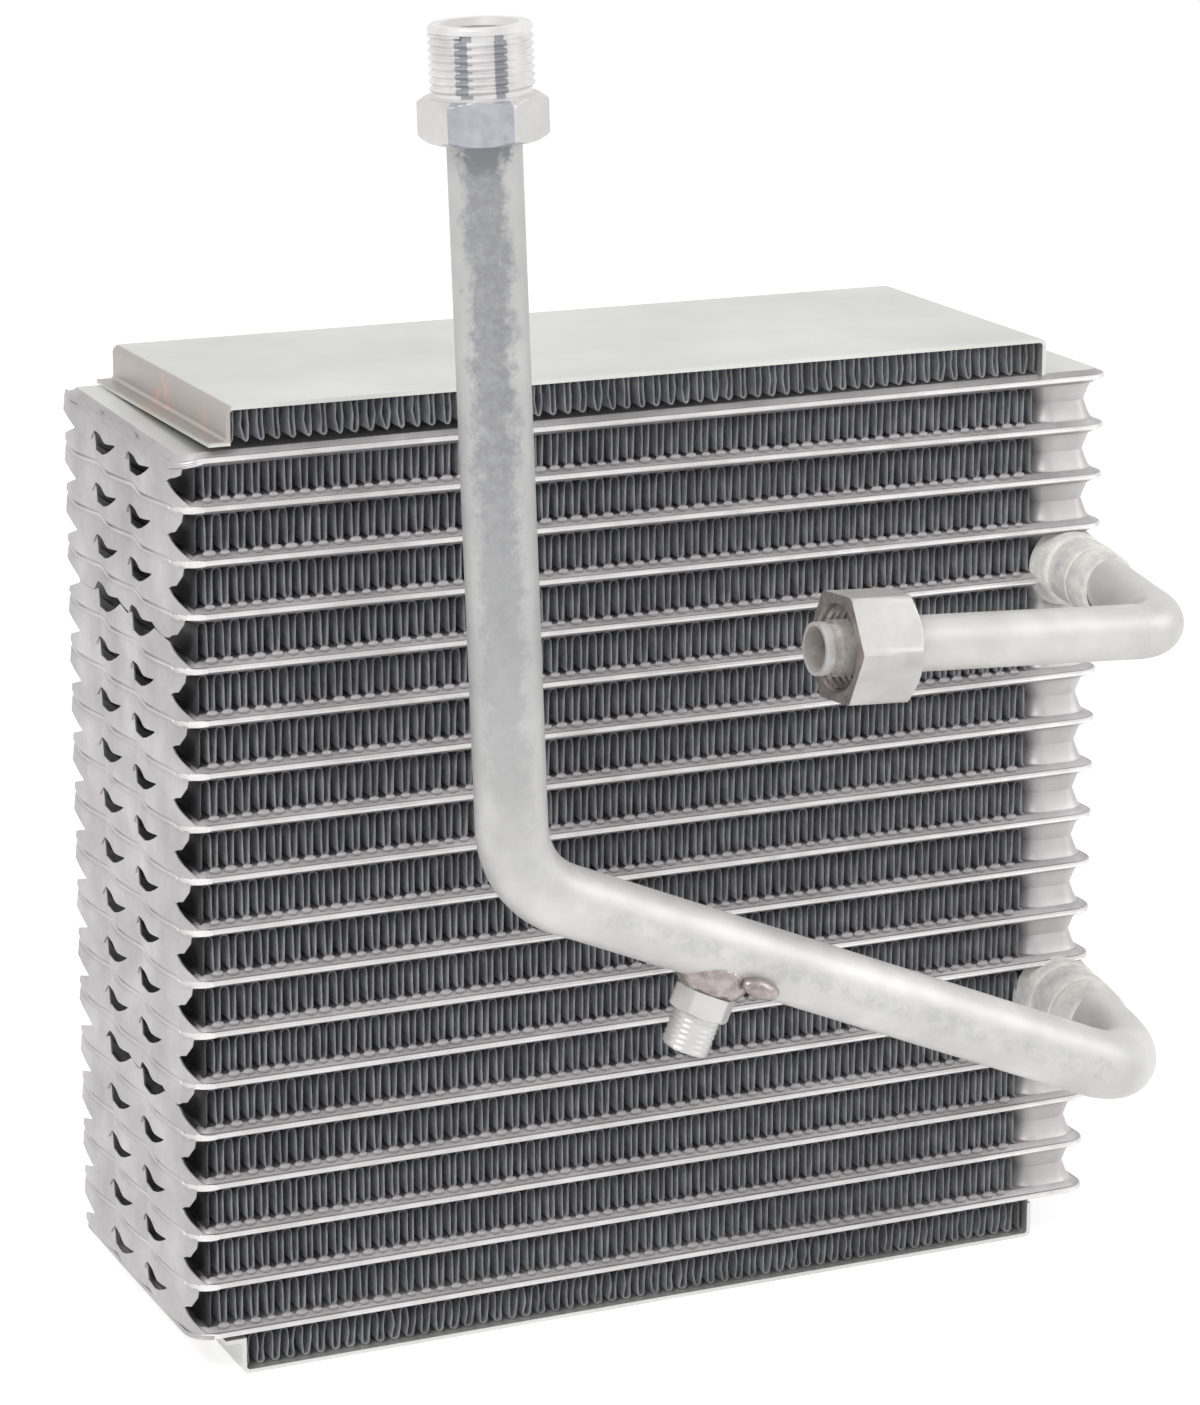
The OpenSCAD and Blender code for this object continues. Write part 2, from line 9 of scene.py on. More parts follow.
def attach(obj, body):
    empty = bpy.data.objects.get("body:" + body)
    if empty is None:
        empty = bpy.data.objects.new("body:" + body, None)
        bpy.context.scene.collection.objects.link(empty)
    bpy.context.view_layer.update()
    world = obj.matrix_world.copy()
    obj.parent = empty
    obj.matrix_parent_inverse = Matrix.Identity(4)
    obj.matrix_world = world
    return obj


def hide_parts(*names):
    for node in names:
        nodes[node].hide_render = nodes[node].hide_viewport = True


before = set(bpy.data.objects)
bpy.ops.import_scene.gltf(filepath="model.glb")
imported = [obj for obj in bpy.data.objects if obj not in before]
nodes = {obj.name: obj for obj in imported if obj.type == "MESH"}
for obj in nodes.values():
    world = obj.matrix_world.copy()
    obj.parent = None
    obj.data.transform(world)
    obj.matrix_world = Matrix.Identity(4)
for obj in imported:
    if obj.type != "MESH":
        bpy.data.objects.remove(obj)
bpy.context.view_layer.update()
scene = bpy.context.scene
scene.view_settings.view_transform = "Standard"
mm = 0.001
print("frame loaded:", len(nodes), "nodes")


# camera: the photograph's viewpoint, solved from the core's corners
camera = {
    "azimuth": -24.91, "elevation": 13.96, "roll": 0.32,
    "place": (-0.4179, -0.9412, 0.4182),
    "lens": 115.2, "shiftX": -0.0427, "shiftY": -0.0712,
}
az, el, roll = (math.radians(camera[k]) for k in ("azimuth", "elevation", "roll"))
back = Vector((math.sin(az) * math.cos(el), -math.cos(az) * math.cos(el), math.sin(el)))
side = Vector((math.cos(az), math.sin(az), 0))
turn = Matrix.Rotation(roll, 3, back)
side = turn @ side
up = back.cross(side)
camData = bpy.data.cameras.new("camera")
camData.sensor_width = 36
camData.lens = camera["lens"]
camData.shift_x = camera["shiftX"]
camData.shift_y = camera["shiftY"]
camData.clip_start = 0.01
cam = bpy.data.objects.new("camera", camData)
cam.matrix_world = Matrix.Translation(camera["place"]) @ Matrix((side, up, back)).transposed().to_4x4()
scene.collection.objects.link(cam)
scene.camera = cam
print("camera placed")


def toLinear(code):
    parts = [int(code[i:i + 2], 16) / 255 for i in (1, 3, 5)]
    return tuple(c / 12.92 if c <= 0.04045 else ((c + 0.055) / 1.055) ** 2.4 for c in parts) + (1,)


# adds one node with its settings, its socket values and its links; a link may start at a
# socket, or at a node for the first output that it has in use
def addNode(tree, kind, settings=None, values=None, links=None):
    node = tree.nodes.new(kind)
    for name, value in (settings or {}).items():
        setattr(node, name, value)
    for name, value in (values or {}).items():
        node.inputs[name].default_value = value
    for name, source in (links or {}).items():
        if isinstance(source, bpy.types.Node):
            source = next(output for output in source.outputs if output.enabled)
        tree.links.new(source, node.inputs[name])
    return node


multiply = {"operation": "MULTIPLY"}
colours = {"data_type": "RGBA"}


# socket values that turn one range into another
def ranged(low, high, first, last):
    return {"From Min": low, "From Max": high, "To Min": first, "To Max": last}


# clouds of colour as the base colour, until a mix takes their place: noise through a ramp
# of stops (place, colour)
def addCloud(tree, shader, where, noise, stops):
    cloud = addNode(tree, "ShaderNodeTexNoise", values=noise, links={"Vector": where})
    tint = addNode(tree, "ShaderNodeValToRGB", links={"Fac": cloud})
    elements = tint.color_ramp.elements
    while len(elements) < len(stops):
        elements.new(0.5)
    for element, (place, code) in zip(elements, stops):
        element.position = place
        element.color = toLinear(code)
    tree.links.new(tint.outputs["Color"], shader.inputs["Base Color"])
    return cloud, tint


# 1 where a ray comes from the camera, straight or by way of metal or glass
def addSeen(tree):
    path = addNode(tree, "ShaderNodeLightPath")
    seen = addNode(tree, "ShaderNodeMath", {"operation": "MAXIMUM"},
                   links={0: path.outputs["Is Camera Ray"], 1: path.outputs["Is Glossy Ray"]})
    return addNode(tree, "ShaderNodeMath", {"operation": "MAXIMUM"},
                   links={0: seen, 1: path.outputs["Is Transmission Ray"]})


# starts a material: principled shader, output and object coordinates
def startMaterial(name, roughness, metallic):
    material = bpy.data.materials.new(name)
    material.use_nodes = True
    tree = material.node_tree
    tree.nodes.clear()
    shader = addNode(tree, "ShaderNodeBsdfPrincipled",
                     values={"Roughness": roughness, "Metallic": metallic})
    output = addNode(tree, "ShaderNodeOutputMaterial", links={"Surface": shader})
    place = addNode(tree, "ShaderNodeTexCoord")
    shader.location, output.location, place.location = (0, 0), (300, 0), (-1200, 0)
    return material, tree, shader, place.outputs["Object"]


# lamps, world and floor: plain soft studio light
studio = {
    "floor": "#fbfbfb", "floorGlow": 0.52, "worldDiffuse": 0.45,
    "keyPower": 17, "keySize": 0.8, "keyPlace": (-1.05, -0.75, 1.65),
    "fillPower": 9, "fillSize": 1.0, "fillPlace": (1.5, -0.8, 1.1),
    "aim": (0, 0, 0.14), "floorHalf": 6,
}
world = bpy.data.worlds.new("studio")
world.use_nodes = True
scene.world = world
tree = world.node_tree
tree.nodes.clear()
strength = addNode(tree, "ShaderNodeMapRange", values={"To Min": studio["worldDiffuse"], "To Max": 1},
                   links={"Value": addSeen(tree)})
sky = addNode(tree, "ShaderNodeBackground", values={"Color": (1, 1, 1, 1)}, links={"Strength": strength})
addNode(tree, "ShaderNodeOutputWorld", links={"Surface": sky})

for name in ("key", "fill"):
    lampData = bpy.data.lights.new(name, "AREA")
    lampData.energy = studio[name + "Power"]
    lampData.size = studio[name + "Size"]
    lamp = bpy.data.objects.new(name, lampData)
    lamp.location = studio[name + "Place"]
    aim = Vector(studio["aim"]) - lamp.location
    lamp.rotation_euler = aim.to_track_quat("-Z", "Y").to_euler()
    scene.collection.objects.link(lamp)


# makes an object of a bmesh; edges sharper than the angle smooth stay hard
def newPiece(bm, name, materials, smooth):
    mesh = bpy.data.meshes.new(name)
    bm.to_mesh(mesh)
    bm.free()
    if smooth:
        mesh.shade_smooth()
        mesh.set_sharp_from_angle(angle=math.radians(smooth))
    for material in materials:
        mesh.materials.append(material)
    piece = bpy.data.objects.new(name, mesh)
    scene.collection.objects.link(piece)
    return piece


floorMaterial, tree, shader, where = startMaterial("paintedFloor", 0.9, 0)
shader.inputs["Base Color"].default_value = toLinear(studio["floor"])
shader.inputs["Specular IOR Level"].default_value = 0.1
shader.inputs["Emission Color"].default_value = (1, 1, 1, 1)
glow = addNode(tree, "ShaderNodeMath", multiply, {1: studio["floorGlow"]}, {0: addSeen(tree)})
tree.links.new(glow.outputs[0], shader.inputs["Emission Strength"])
bm = bmesh.new()
bmesh.ops.create_grid(bm, x_segments=1, y_segments=1, size=studio["floorHalf"])
floor = newPiece(bm, "floor", (floorMaterial,), smooth=0)
print("studio built")


# brazed sheet: rolled clad aluminium out of the furnace, a soft satin grey with paler patches
# where the braze metal has flowed
tubeSheet, tree, shader, where = startMaterial("brazedAluminiumSheet", 0.42, 0.65)
addCloud(tree, shader, where, {"Scale": 60, "Detail": 4, "Roughness": 0.6},
         [(0.3, "#a6a3a4"), (0.5, "#b6b3b4"), (0.7, "#c8c5c6")])
grain = addNode(tree, "ShaderNodeTexNoise", values={"Scale": 900, "Detail": 3}, links={"Vector": where})
bump = addNode(tree, "ShaderNodeBump", values={"Strength": 0.25, "Distance": 0.0002},
               links={"Height": grain})
tree.links.new(bump.outputs["Normal"], shader.inputs["Normal"])

# braze fillet: the same clad metal, duller where it froze against a fin
filletMetal, tree, shader, where = startMaterial("dullBrazeFillet", 0.6, 0.15)
shader.inputs["Base Color"].default_value = toLinear("#b4b1b2")

# cup sheet: the same clad sheet over the cups and smoother, painted paler as painted light on the cups and
# as a painted highlight on the fold under the groove
litSheet, tree, shader, where = startMaterial("paintedLightSheet", 0.45, 0.4)
addCloud(tree, shader, where, {"Scale": 90, "Detail": 3}, [(0.3, "#c4c1c1"), (0.7, "#d6d3d3")])

# whitened braze: torch joint covered with dried flux, matt and creamy white
whiteFlux, tree, shader, where = startMaterial("fluxWhitenedBraze", 0.6, 0.1)
cloud = addCloud(tree, shader, where, {"Scale": 200, "Detail": 4, "Roughness": 0.65},
                 [(0.34, "#d3d2d0"), (0.6, "#f2f0ea")])[0]
bump = addNode(tree, "ShaderNodeBump", values={"Strength": 0.6, "Distance": 0.0008},
               links={"Height": cloud})
tree.links.new(bump.outputs["Normal"], shader.inputs["Normal"])

# bright sheet: a lit copy of the clad metal, smooth, laid on as a painted highlight along the rims, the
# groove and the suction thread
highlightMetal, tree, shader, where = startMaterial("paintedHighlightMetal", 0.34, 0.6)
addCloud(tree, shader, where, {"Scale": 140, "Detail": 3}, [(0.3, "#dad8d7"), (0.65, "#ecebea")])

# fin stock: thin rolled aluminium, dulled by the furnace, louvred in stripes across the air's way, with a
# painted shadow up under each tube's rim and painted shade near the left end
finLook = {  # in metres, as object coordinates are
    "tint": [(0.3, "#adaeb2"), (0.7, "#e0e1e5")], "dark": "#1d1d1f",
    "louvrePitch": 0.0013, "slit": ranged(0.2, 0.9, 1, 0.78),
    # height in a row of fins, from 0 to 1 over the pitch of the tubes; 10 keeps it above 0
    "rowPitch": 0.012, "rowShift": 10 - 10.4 / 12, "rimShadow": ranged(0.62, 0.84, 1, 0.36),
    "corner": ranged(-0.1098, -0.1075, 0.12, 1), "cutEdge": ranged(0.0369, 0.03699, 1, 0.42),
}
finSheet, tree, shader, where = startMaterial("rolledFinStock", 0.5, 0.4)
split = addNode(tree, "ShaderNodeSeparateXYZ", links={"Vector": where})
tint = addCloud(tree, shader, where, {"Scale": 260, "Detail": 3}, finLook["tint"])[1]
louvre = addNode(tree, "ShaderNodeMath", multiply, {1: 2 * math.pi / finLook["louvrePitch"]},
                 {0: split.outputs["Y"]})
louvre = addNode(tree, "ShaderNodeMath", {"operation": "SINE"}, links={0: louvre})
slit = addNode(tree, "ShaderNodeMapRange", values=finLook["slit"], links={"Value": louvre})
row = addNode(tree, "ShaderNodeMath", {"operation": "MULTIPLY_ADD"},
              {1: 1 / finLook["rowPitch"], 2: finLook["rowShift"]}, {0: split.outputs["Z"]})
row = addNode(tree, "ShaderNodeMath", {"operation": "FRACT"}, links={0: row})
# painted shadow: the sheet darkens up under each tube's rim
rimShadow = addNode(tree, "ShaderNodeMapRange", values=finLook["rimShadow"], links={"Value": row})
# painted shade: the sheet goes dark near the left end, in the pocket behind the bent walls
corner = addNode(tree, "ShaderNodeMapRange", values=finLook["corner"], links={"Value": split.outputs["X"]})
share = addNode(tree, "ShaderNodeMath", multiply, links={0: rimShadow, 1: slit})
share = addNode(tree, "ShaderNodeMath", multiply, links={0: share, 1: corner})
# the cut edges at the front and back are the dullest
edge = addNode(tree, "ShaderNodeMath", {"operation": "ABSOLUTE"}, links={0: split.outputs["Y"]})
edge = addNode(tree, "ShaderNodeMapRange", values=finLook["cutEdge"], links={"Value": edge})
share = addNode(tree, "ShaderNodeMath", multiply, links={0: share, 1: edge})
shade = addNode(tree, "ShaderNodeMix", colours, {6: toLinear(finLook["dark"])}, {0: share, 7: tint})
tree.links.new(shade.outputs[2], shader.inputs["Base Color"])

# end plate sheet: rolled aluminium, pale grey with a hint of green; its left wall is painted darker and
# brownish as painted shade on that side, with two pink stains
plateLook = {  # in metres
    "tint": [(0.3, "#cfcfcb"), (0.7, "#dededb")], "wall": "#a8a09b", "pink": "#e0aea0",
    "wallX": ranged(-0.1011, -0.10145, 0, 1), "wallZ": ranged(0.2163, 0.217, 0, 0.75),
    "stain": (-0.1016, 0.003, 0.2175), "stainFade": ranged(0.009, 0.002, 0, 1),
    "spot": (-0.1016, -0.024, 0.2195), "spotFade": ranged(0.004, 0.001, 0, 0.7),
    "blot": ranged(0.43, 0.6, 0, 0.65),
}
plateSheet, tree, shader, where = startMaterial("rolledPlateSheet", 0.45, 0.8)
tint = addCloud(tree, shader, where, {"Scale": 25, "Detail": 5}, plateLook["tint"])[1]
split = addNode(tree, "ShaderNodeSeparateXYZ", links={"Vector": where})
# painted shade: the left wall is mixed towards a darker brownish grey
left = addNode(tree, "ShaderNodeMapRange", values=plateLook["wallX"], links={"Value": split.outputs["X"]})
tall = addNode(tree, "ShaderNodeMapRange", values=plateLook["wallZ"], links={"Value": split.outputs["Z"]})
wall = addNode(tree, "ShaderNodeMath", multiply, links={0: left, 1: tall})
dull = addNode(tree, "ShaderNodeMix", colours, {7: toLinear(plateLook["wall"])}, {0: wall, 6: tint})
stain = addNode(tree, "ShaderNodeVectorMath", {"operation": "DISTANCE"}, {1: plateLook["stain"]},
                {0: where})
blot = addNode(tree, "ShaderNodeTexNoise", values={"Scale": 330, "Detail": 2}, links={"Vector": where})
stain = addNode(tree, "ShaderNodeMapRange", values=plateLook["stainFade"], links={"Value": stain})
spot = addNode(tree, "ShaderNodeVectorMath", {"operation": "DISTANCE"}, {1: plateLook["spot"]}, {0: where})
spot = addNode(tree, "ShaderNodeMapRange", values=plateLook["spotFade"], links={"Value": spot})
stain = addNode(tree, "ShaderNodeMath", {"operation": "MAXIMUM"}, links={0: stain, 1: spot})
stain = addNode(tree, "ShaderNodeMath", multiply, links={0: stain, 1: left})
blot = addNode(tree, "ShaderNodeMapRange", values=plateLook["blot"], links={"Value": blot})
stain = addNode(tree, "ShaderNodeMath", multiply, links={0: stain, 1: blot})
shade = addNode(tree, "ShaderNodeMix", colours, {7: toLinear(plateLook["pink"])}, {0: stain, 6: dull})
tree.links.new(shade.outputs[2], shader.inputs["Base Color"])

# drawn pipe: extruded and drawn aluminium tube, whitish satin; the bending die left a dull mottled band
# down the riser's front, deepened as a painted reflection and with a painted shadow under the hexagon; the
# runs are scuffed and the sealing nose has a brown film
pipeLook = {  # in metres
    "tint": [(0.3, "#cccbc9"), (0.7, "#e3e2df")],
    "bandPoint": (-0.055, -0.0855, 0.1244), "bandAcross": (0.906, -0.42, 0.035), "band": "#7f8085",
    "bandRagged": 0.012, "bandMiddle": 0.0062, "bandFade": ranged(0.0056, 0.003, 0, 1),
    "bandRise": ranged(0.13, 0.23, 0.1, 0.85), "mottle": ranged(0.36, 0.62, 0.65, 1),
    "neck": ranged(0.2795, 0.286, 0, 1.2), "riserX": ranged(-0.03, -0.045, 0, 1),
    "dull": "#9fa0a3", "dullRise": ranged(0.12, 0.17, 0, 0.4),
    "scuff": "#8c8e99", "scuffY": ranged(-0.0928, -0.0934, 0, 1),
    "scuffBlot": ranged(0.42, 0.62, 0, 0.26), "runX": ranged(-0.045, -0.03, 0, 1),
    "film": "#8f7f76", "nose": (0.024, -0.0855, 0.169), "noseFade": ranged(0.0095, 0.0065, 0, 0.55),
    "filmBlot": ranged(0.4, 0.6, 0.3, 1),
}
drawnPipe, tree, shader, where = startMaterial("drawnAluminiumPipe", 0.5, 0.42)
tint = addCloud(tree, shader, where, {"Scale": 70, "Detail": 5}, pipeLook["tint"])[1]
split = addNode(tree, "ShaderNodeSeparateXYZ", links={"Vector": where})
# the band lies down the riser's front; its darkness is part mottled marks and part painted reflection
band = addNode(tree, "ShaderNodeVectorMath", {"operation": "SUBTRACT"}, {1: pipeLook["bandPoint"]},
               {0: where})
band = addNode(tree, "ShaderNodeVectorMath", {"operation": "DOT_PRODUCT"}, {1: pipeLook["bandAcross"]},
               {0: band})
blot = addNode(tree, "ShaderNodeTexNoise", values={"Scale": 240, "Detail": 5, "Roughness": 0.75},
               links={"Vector": where})
band = addNode(tree, "ShaderNodeMath", {"operation": "MULTIPLY_ADD"}, {1: pipeLook["bandRagged"]},
               {0: blot, 2: band})
band = addNode(tree, "ShaderNodeMath", {"operation": "SUBTRACT"}, {1: pipeLook["bandMiddle"]}, {0: band})
band = addNode(tree, "ShaderNodeMath", {"operation": "ABSOLUTE"}, links={0: band})
band = addNode(tree, "ShaderNodeMapRange", values=pipeLook["bandFade"], links={"Value": band})
tall = addNode(tree, "ShaderNodeMapRange", values=pipeLook["bandRise"], links={"Value": split.outputs["Z"]})
# mottled along the band, and darkest just under the hexagon, where a painted shadow is laid on
mottle = addNode(tree, "ShaderNodeTexNoise", values={"Scale": 420, "Detail": 4, "Roughness": 0.7},
                 links={"Vector": where})
mottle = addNode(tree, "ShaderNodeMapRange", values=pipeLook["mottle"], links={"Value": mottle})
band = addNode(tree, "ShaderNodeMath", multiply, links={0: band, 1: mottle})
neck = addNode(tree, "ShaderNodeMapRange", values=pipeLook["neck"], links={"Value": split.outputs["Z"]})
tall = addNode(tree, "ShaderNodeMath", {"operation": "ADD"}, links={0: tall, 1: neck})
band = addNode(tree, "ShaderNodeMath", multiply, links={0: band, 1: tall})
left = addNode(tree, "ShaderNodeMapRange", values=pipeLook["riserX"], links={"Value": split.outputs["X"]})
band = addNode(tree, "ShaderNodeMath", multiply, links={0: band, 1: left})
shade = addNode(tree, "ShaderNodeMix", colours, {7: toLinear(pipeLook["band"])}, {0: band, 6: tint})
# the whole riser is a little duller
dark = addNode(tree, "ShaderNodeMapRange", values=pipeLook["dullRise"], links={"Value": split.outputs["Z"]})
dark = addNode(tree, "ShaderNodeMath", multiply, links={0: dark, 1: left})
shade = addNode(tree, "ShaderNodeMix", colours, {7: toLinear(pipeLook["dull"])}, {0: dark, 6: shade})
# grey scuffs along the front of both runs
scuff = addNode(tree, "ShaderNodeMapRange", values=pipeLook["scuffY"], links={"Value": split.outputs["Y"]})
blotch = addNode(tree, "ShaderNodeMapRange", values=pipeLook["scuffBlot"], links={"Value": blot})
run = addNode(tree, "ShaderNodeMapRange", values=pipeLook["runX"], links={"Value": split.outputs["X"]})
scuff = addNode(tree, "ShaderNodeMath", multiply, links={0: scuff, 1: blotch})
scuff = addNode(tree, "ShaderNodeMath", multiply, links={0: scuff, 1: run})
shade = addNode(tree, "ShaderNodeMix", colours, {7: toLinear(pipeLook["scuff"])}, {0: scuff, 6: shade})
# brown film on the nose
nose = addNode(tree, "ShaderNodeVectorMath", {"operation": "DISTANCE"}, {1: pipeLook["nose"]}, {0: where})
nose = addNode(tree, "ShaderNodeMapRange", values=pipeLook["noseFade"], links={"Value": nose})
film = addNode(tree, "ShaderNodeMapRange", values=pipeLook["filmBlot"], links={"Value": blot})
nose = addNode(tree, "ShaderNodeMath", multiply, links={0: nose, 1: film})
shade = addNode(tree, "ShaderNodeMix", colours, {7: toLinear(pipeLook["film"])}, {0: nose, 6: shade})
tree.links.new(shade.outputs[2], shader.inputs["Base Color"])
bump = addNode(tree, "ShaderNodeBump", values={"Strength": 0.3, "Distance": 0.0004}, links={"Height": blot})
tree.links.new(bump.outputs["Normal"], shader.inputs["Normal"])

# turned fitting: machined aluminium bar, whitish and smooth
turnedBar, tree, shader, where = startMaterial("turnedAluminiumBar", 0.34, 0.4)
addCloud(tree, shader, where, {"Scale": 120, "Detail": 4}, [(0.3, "#d0cfcd"), (0.7, "#dfdedc")])

# nut bar: the same bar, dulled all over by handling
nutBar, tree, shader, where = startMaterial("handledNutBar", 0.42, 0.4)
addCloud(tree, shader, where, {"Scale": 160, "Detail": 4}, [(0.3, "#c1bfbc"), (0.7, "#d2d0cc")])

# thread reflection: the same bar painted bluish grey, laid in bands on the thread as a painted reflection
paintedThreadReflection, tree, shader, where = startMaterial("paintedThreadReflection", 0.4, 0.4)
shader.inputs["Base Color"].default_value = toLinear("#a2a4aa")

# bluish grey: a painted reflection on the hexagon flats that face the front; the collars are this grey
# towards the tank
bluishGrey, tree, shader, where = startMaterial("bluishGreyFaces", 0.45, 0.5)
addCloud(tree, shader, where, {"Scale": 400, "Detail": 4}, [(0.3, "#a9abb2"), (0.7, "#bcbec5")])

# scorched braze: torch-brazed fillet at the port, brownish grey and glossy
scorched, tree, shader, where = startMaterial("scorchedTorchBraze", 0.28, 0.6)
cloud = addCloud(tree, shader, where, {"Scale": 300, "Detail": 4, "Roughness": 0.7},
                 [(0.3, "#8a807e"), (0.6, "#b8afac")])[0]
bump = addNode(tree, "ShaderNodeBump", values={"Strength": 0.5, "Distance": 0.0006},
               links={"Height": cloud})
tree.links.new(bump.outputs["Normal"], shader.inputs["Normal"])
print("materials made")

# fins: one corrugated strip in each gap between tubes, and one against each end plate; each
# lower crest is held by a bead of braze at the front and at the back
fins = {
    "count": 19, "waves": (3.55, 3.85), "sheet": 0.3, "crestR": 0.88, "depth": 74,
    "xFrom": -110.1, "xTo": 98.8, "height": 8.8, "pitch": 12, "lowest": 16.4,
    "outerFrom": -101.1, "outerTopTo": 99.1, "outerBottomTo": 101.1, "outerHeight": 7.8,
    "topZ": 219.9, "bottomZ": 4.9, "lean": 0.06, "outerLean": 0.4, "seed": 7,
    "round": 0.71, "tilt": 0.6,
    "bead": (1.5, 0.9, 0.85), "beadRise": 0.05, "beadOut": 0.4, "beadSize": (0.75, 1.1), "beadSway": 0.2,
}
stripMetals = (finSheet, filletMetal)
random.seed(fins["seed"])
bm = bmesh.new()
bmesh.ops.create_uvsphere(bm, u_segments=8, v_segments=4, radius=1)
for face in bm.faces:
    face.material_index = stripMetals.index(filletMetal)
beadMesh = bpy.data.meshes.new("bead")
bm.to_mesh(beadMesh)
bm.free()


def finStrip(name, xFrom, xTo, height, middle, unevenness, beads):
    waves = round((xTo - xFrom) / random.uniform(*fins["waves"]))
    half = (xTo - xFrom) / waves / 2
    r, bend = fins["crestR"], fins["round"]
    top = height / 2 - fins["sheet"] / 2
    bm = bmesh.new()
    last = bm.verts.new((xFrom, 0, middle - top))
    crests = []
    tilt = random.uniform(-1, 1) * unevenness
    for k in range(2 * waves):
        sign = 1 if k % 2 == 0 else -1
        x = xFrom + k * half
        if sign > 0 and k:
            crests.append(x)
        lean = random.uniform(-1, 1) * unevenness
        shift = (tilt + fins["tilt"] * lean) * (0 if k in (0, 2 * waves - 1) else sign)
        points = [
            (x + bend * r, -top + (1 - bend) * r), (x + r, -top + r),
            (x + half / 2 + lean, 0),
            (x + half - r + shift, top - r), (x + half - bend * r + shift, top - (1 - bend) * r),
            (x + half + shift / 2, top),
        ]
        for px, pz in points:
            nextOne = bm.verts.new((px, 0, middle + sign * pz))
            bm.edges.new((last, nextOne))
            last = nextOne
    bmesh.ops.translate(bm, verts=bm.verts, vec=(0, -fins["depth"] / 2, 0))
    side = bmesh.ops.extrude_edge_only(bm, edges=bm.edges[:])
    bmesh.ops.translate(bm, verts=[v for v in side["geom"] if isinstance(v, bmesh.types.BMVert)],
                        vec=(0, fins["depth"], 0))
    bmesh.ops.solidify(bm, geom=bm.faces[:], thickness=fins["sheet"])
    bmesh.ops.recalc_face_normals(bm, faces=bm.faces[:])
    if beads:
        for x in crests:
            for y in (-1, 1):
                size = random.uniform(*fins["beadSize"])
                sway = random.uniform(-fins["beadSway"], fins["beadSway"])
                place = Vector((x + sway, y * (fins["depth"] / 2 + fins["beadOut"]),
                                middle - height / 2 + fins["beadRise"]))
                matrix = Matrix.Translation(place) @ Matrix.Diagonal((*(size * d for d in fins["bead"]), 1))
                bead = beadMesh.copy()
                bead.transform(matrix)
                bm.from_mesh(bead)
                bpy.data.meshes.remove(bead)
    bmesh.ops.scale(bm, verts=bm.verts, vec=(mm, mm, mm))
    return newPiece(bm, name, stripMetals, smooth=40)


for i in range(fins["count"]):
    outer = i in (0, fins["count"] - 1)
    if i == 0:
        span = (fins["outerFrom"], fins["outerTopTo"], fins["outerHeight"], fins["topZ"])
    elif outer:
        span = (fins["outerFrom"], fins["outerBottomTo"], fins["outerHeight"], fins["bottomZ"])
    else:
        z = fins["lowest"] + (fins["count"] - 2 - i) * fins["pitch"]
        span = (fins["xFrom"], fins["xTo"], fins["height"], z)
    lean = fins["outerLean" if outer else "lean"]
    strip = finStrip("corrugated_fin_%02d" % (i + 1), *span, lean, not outer)
    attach(strip, "core")
    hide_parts("fin_%02d" % (i + 1))
print("fins made")


# drawn tubes: a flat body with a brazed rim, cups that stack up into the two tanks, and
# a flanged end whose tabs meet the next tube's tabs
tubes = {
    "count": 18, "topZ": 214.4, "pitch": 12,
    "left": -114.3, "right": 118.7, "front": -39.5, "corner": 6.0, "cornerSteps": 9,
    "backCorner": 3.2, "wrap": 6.5, "lobes": 3, "lobe": 24.0, "bulge": 0.7,
    # the body stands back behind the bent walls; the first and last tube's stands out
    "setBack": 1.3, "outerSetBack": -0.4,
    "wall": 0.35, "groove": 1.05, "lap": 0.25, "openSeams": {4: 0.5, 13: 0.45},
    "tankX": 108.2, "tankR": 8.2, "tankCorner": 5.2, "tankGap": 4.0, "tankEdge": 2.8, "tankSteps": 8,
    # sections as (outward, height): the body's rim and shoulders, and a cup
    "rim": [(-2.5, -1.6), (-1.25, -0.7), (-1.15, -0.6), (-0.3, -0.6), (-0.08, -0.42), (0, -0.12),
            (-0.08, 0), (0, 0.12), (-0.08, 0.42), (-0.3, 0.6), (-1.15, 0.6), (-1.25, 0.7), (-2.5, 1.6)],
    "cup": [(0.6, 1.3), (0.25, 1.62), (0, 1.9), (-0.35, 2.5), (-0.75, 3.4), (-1.15, 4.5), (-1.55, 5.6),
            (-1.7, 6.02)],
    # folds of a flange above and below the groove, as (height, depth share)
    "foldsUp": [(0, -1), (0.12, -0.82), (0.3, -0.4), (0.6, -0.1), (1.1, 0)],
    "foldsDown": [(0, -1), (0.35, -0.72), (0.75, -0.36), (1.2, -0.09), (1.7, 0)],
    "rises": [0.35, 0.7, 1], "leastReach": 0.5, "foldRoom": 2.4,
    # the groove: how far it wanders up and down, and its depth as a share at mid height
    "wander": 0.85, "drop": 6.5, "midDepth": 0.75, "depthLoss": 0.3,
    # fades as (start, length) along the path
    "wanderFade": (4, 5), "grooveFade": (3, 6), "lapFade": (8, 3),
    # painted highlight: half height on the rim, and along the groove with what it loses towards the back
    "brightRim": 0.55, "brightSeam": 0.8, "seamLoss": 0.12,
    # the painted highlight on the fold under the groove: its rows and its first station
    "paleFold": (-2.2, -1), "foldFrom": 12,
    # stations along the path: usual step, then step and count at the front, and least gap
    "step": 2.2, "frontStep": 0.9, "frontCount": 12, "leastStep": 0.12,
    # bend of the first tube's front left corner
    "dip": 2.4, "dipFrom": -93, "dipLength": 21, "dipFront": (4, 30), "dipHeight": (-5, 3),
}
tubeMetals = (tubeSheet, highlightMetal, plateSheet, litSheet, finSheet)
arcLength = tubes["wrap"] * math.pi / 2
lobeStart = arcLength + 0.5
pathLength = lobeStart + tubes["lobes"] * tubes["lobe"]


